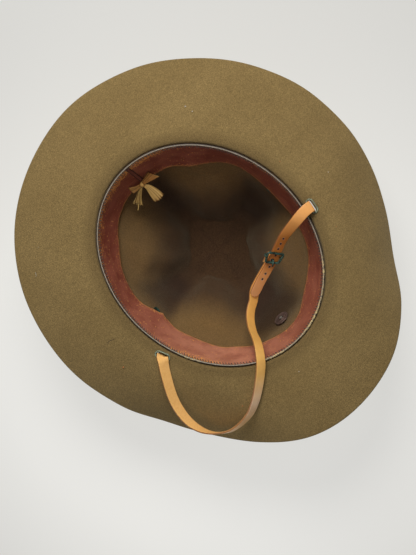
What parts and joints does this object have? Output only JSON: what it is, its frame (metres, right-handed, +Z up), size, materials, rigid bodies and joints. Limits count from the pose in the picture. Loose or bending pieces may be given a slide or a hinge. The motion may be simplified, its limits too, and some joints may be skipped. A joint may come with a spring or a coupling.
{
  "type": "campaign hat",
  "caption": "Wide-brimmed felt campaign hat lying on its pinched crown, with leather sweatband, brim eyelets and buckled chin strap.",
  "frame": {"origin": "middle of the flattened tip of the crown, on the surface that the hat lies on", "axes": "+Z up, out of the open crown; -Y towards the front of the hat; +X towards the wearer's right"},
  "size_m": [0.3155, 0.3545, 0.1412],
  "materials": {
    "felt": "olive-brown brushed felt",
    "ribbon": "ribbed silk ribbon",
    "band_leather": "worn red-brown leather",
    "reed": "waxed cord, worn pale in places",
    "seam": "narrow woven tape",
    "bow": "gold ribbed ribbon with frayed ends",
    "eyelet": "brass with green tarnish",
    "disc": "brown tarnished metal",
    "strap_leather": "smooth tan leather, flesh side matt",
    "buckle_metal": "brass wire with green-grey tarnish"
  },
  "bodies": {
    "root": {"felt_body": "felt", "hat_ribbon": "ribbon", "sweatband": "band_leather", "sweatband_reed": "reed", "seam_tape": "seam", "back_bow": "bow", "grommet_left": "eyelet", "grommet_right": "eyelet", "vent_left": "eyelet", "vent_right": "eyelet", "badge_disc": "disc", "badge_post": "eyelet", "chin_strap": "strap_leather", "buckle_frame": "buckle_metal", "buckle_tongue": "buckle_metal"}
  },
  "joints": []
}
